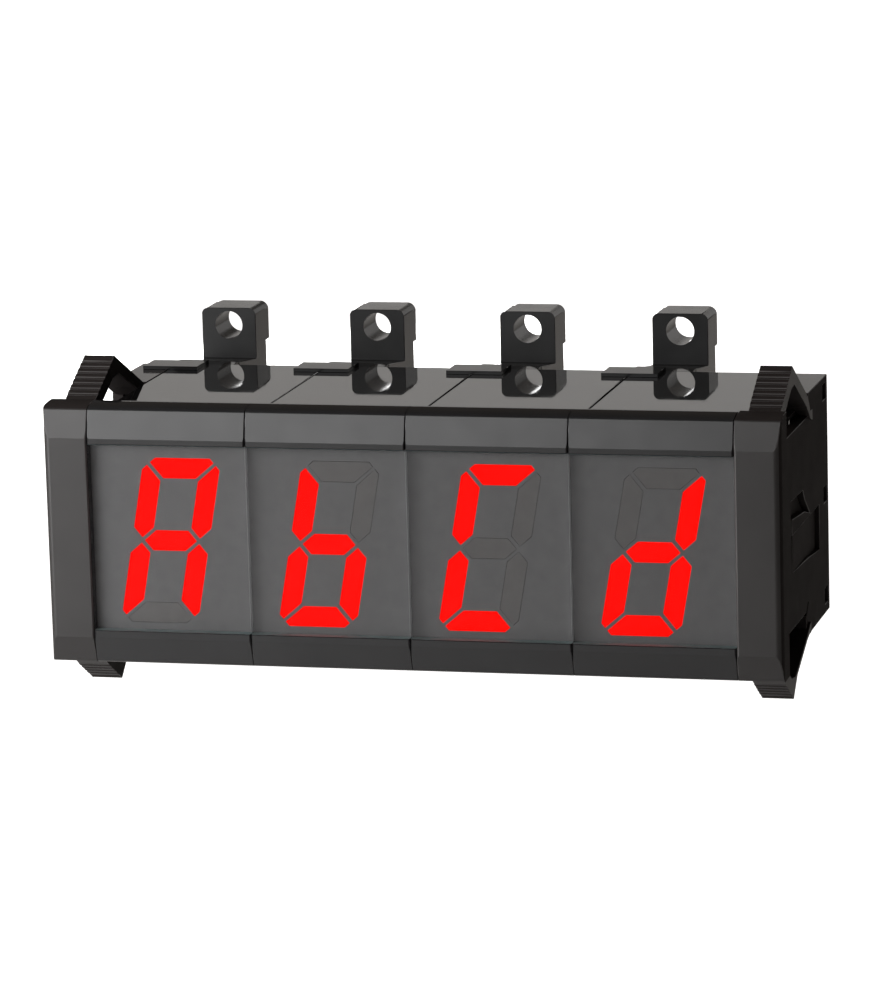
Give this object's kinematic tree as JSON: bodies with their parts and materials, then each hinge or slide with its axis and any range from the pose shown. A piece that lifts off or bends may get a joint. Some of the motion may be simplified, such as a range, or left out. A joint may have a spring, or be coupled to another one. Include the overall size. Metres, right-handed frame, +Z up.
{
  "type": "seven segment display module",
  "caption": "Row of slanted seven segment digits in joined glossy black units between snap-in panel end covers, with an eared edge connector behind each unit.",
  "frame": {"origin": "middle of the plane where the front flange lies on the panel", "axes": "+X along the row of digits, to the reader's right; -Y out of the digits towards the reader, +Y into the panel; +Z up"},
  "size_m": [0.105, 0.0664, 0.0472],
  "materials": {
    "cover_black": "moulded, semi-gloss",
    "case_black": "moulded, high gloss",
    "smoked_pane": "smoked, transparent, gloss",
    "reflector_grey": "painted, matt",
    "lit_red": "diffusing resin, lit",
    "unlit_bar": "diffusing resin, unlit",
    "led_resin": "clear resin",
    "board_green": "glass-epoxy board with solder mask",
    "chip_black": "moulded epoxy",
    "connector_black": "moulded, satin",
    "contact_tin": "tinned"
  },
  "bodies": {
    "root": {"left_end_cover": "cover_black", "right_end_cover": "cover_black", "unit_1_case": "case_black", "unit_1_window": "smoked_pane", "unit_1_reflector": "reflector_grey", "unit_1_lit_segments": "lit_red", "unit_1_unlit_segments": "unlit_bar", "unit_1_leds": "led_resin", "unit_1_display_board": "board_green", "unit_1_driver_board": "board_green", "unit_1_driver_chips": "chip_black", "unit_1_rear_cover": "case_black", "unit_1_edge_connector": "connector_black", "unit_1_contacts": "contact_tin", "unit_2_case": "case_black", "unit_2_window": "smoked_pane", "unit_2_reflector": "reflector_grey", "unit_2_lit_segments": "lit_red", "unit_2_unlit_segments": "unlit_bar", "unit_2_leds": "led_resin", "unit_2_display_board": "board_green", "unit_2_driver_board": "board_green", "unit_2_driver_chips": "chip_black", "unit_2_rear_cover": "case_black", "unit_2_edge_connector": "connector_black", "unit_2_contacts": "contact_tin", "unit_3_case": "case_black", "unit_3_window": "smoked_pane", "unit_3_reflector": "reflector_grey", "unit_3_lit_segments": "lit_red", "unit_3_unlit_segments": "unlit_bar", "unit_3_leds": "led_resin", "unit_3_display_board": "board_green", "unit_3_driver_board": "board_green", "unit_3_driver_chips": "chip_black", "unit_3_rear_cover": "case_black", "unit_3_edge_connector": "connector_black", "unit_3_contacts": "contact_tin", "unit_4_case": "case_black", "unit_4_window": "smoked_pane", "unit_4_reflector": "reflector_grey", "unit_4_lit_segments": "lit_red", "unit_4_unlit_segments": "unlit_bar", "unit_4_leds": "led_resin", "unit_4_display_board": "board_green", "unit_4_driver_board": "board_green", "unit_4_driver_chips": "chip_black", "unit_4_rear_cover": "case_black", "unit_4_edge_connector": "connector_black", "unit_4_contacts": "contact_tin"}
  },
  "joints": []
}
